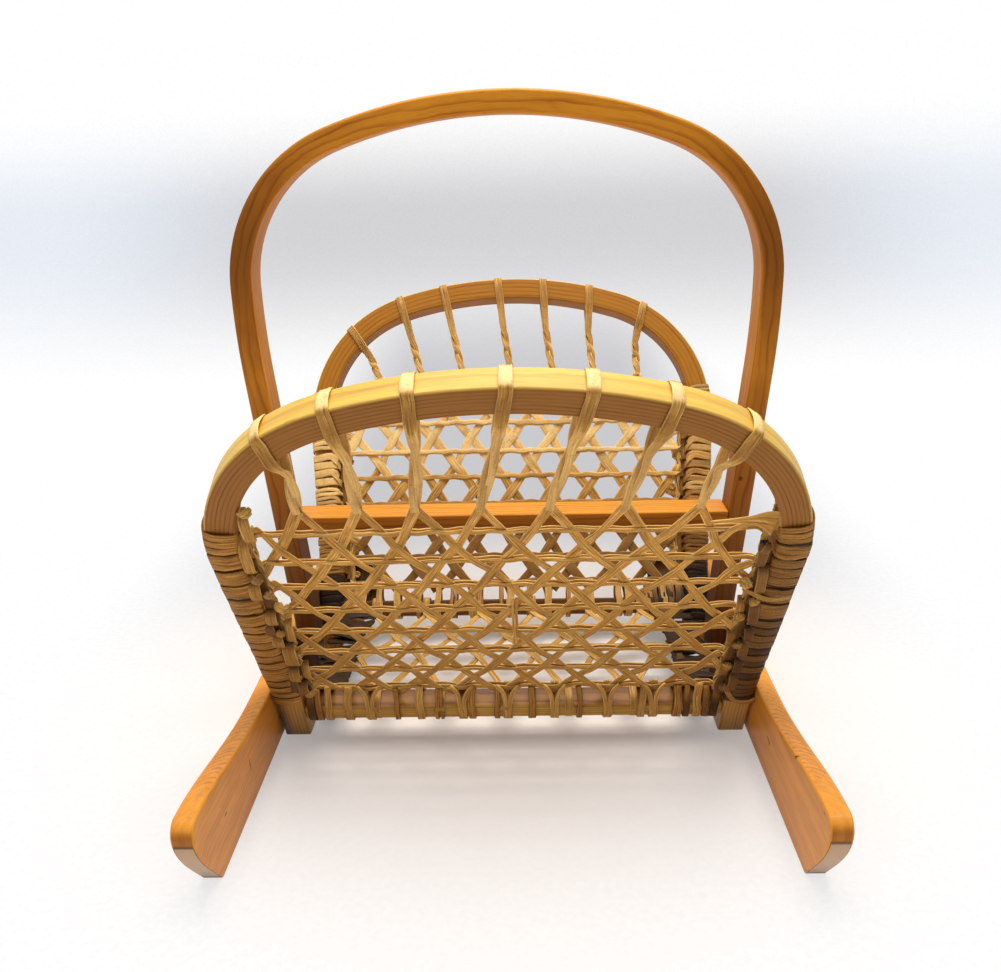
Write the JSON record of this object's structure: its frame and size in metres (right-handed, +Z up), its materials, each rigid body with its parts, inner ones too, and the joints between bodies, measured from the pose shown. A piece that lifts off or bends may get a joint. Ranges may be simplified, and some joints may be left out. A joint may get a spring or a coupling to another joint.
{
  "type": "magazine rack",
  "caption": "Free-standing magazine rack made like snowshoes: bent ash hoops laced with rawhide, a tall carrying hoop in the middle and boards on edge as feet.",
  "frame": {"origin": "on the floor under the middle of the rack, halfway between the two feet and halfway along them", "axes": "+X to the right across the rack, +Y from the front panel to the back one along the feet, +Z up"},
  "size_m": [0.3372, 0.472, 0.3875],
  "materials": {
    "ash": "amber varnished ash, satin",
    "pale_ash": "clear varnished ash, satin",
    "rawhide": "varnished rawhide, honey tan, slightly translucent",
    "rawhide_wrap": "varnished rawhide, browner",
    "steel": "plain steel screw"
  },
  "bodies": {
    "root": {"left_foot": "ash", "right_foot": "ash", "handle_hoop": "ash", "handle_stretcher": "ash", "front_panel_frame": "pale_ash", "back_panel_frame": "pale_ash", "front_crossbar": "pale_ash", "back_crossbar": "pale_ash", "front_lacing": "rawhide", "back_lacing": "rawhide", "bottom_lacing": "rawhide", "front_arch_loop_1": "rawhide", "front_arch_loop_2": "rawhide", "front_arch_loop_3": "rawhide", "front_arch_loop_4": "rawhide", "front_arch_loop_5": "rawhide", "front_arch_loop_6": "rawhide", "front_arch_loop_7": "rawhide", "back_arch_loop_1": "rawhide", "back_arch_loop_2": "rawhide", "back_arch_loop_3": "rawhide", "back_arch_loop_4": "rawhide", "back_arch_loop_5": "rawhide", "back_arch_loop_6": "rawhide", "back_arch_loop_7": "rawhide", "front_left_selvedge": "rawhide", "front_right_selvedge": "rawhide", "back_left_selvedge": "rawhide", "back_right_selvedge": "rawhide", "front_left_leg_wrap": "rawhide_wrap", "front_right_leg_wrap": "rawhide_wrap", "back_left_leg_wrap": "rawhide_wrap", "back_right_leg_wrap": "rawhide_wrap", "front_crossbar_wrap": "rawhide_wrap", "back_crossbar_wrap": "rawhide_wrap", "left_front_panel_screw": "steel", "left_back_panel_screw": "steel", "left_handle_screw_1": "steel", "left_handle_screw_2": "steel", "left_stretcher_screw": "steel", "right_front_panel_screw": "steel", "right_back_panel_screw": "steel", "right_handle_screw_1": "steel", "right_handle_screw_2": "steel", "right_stretcher_screw": "steel"}
  },
  "joints": []
}
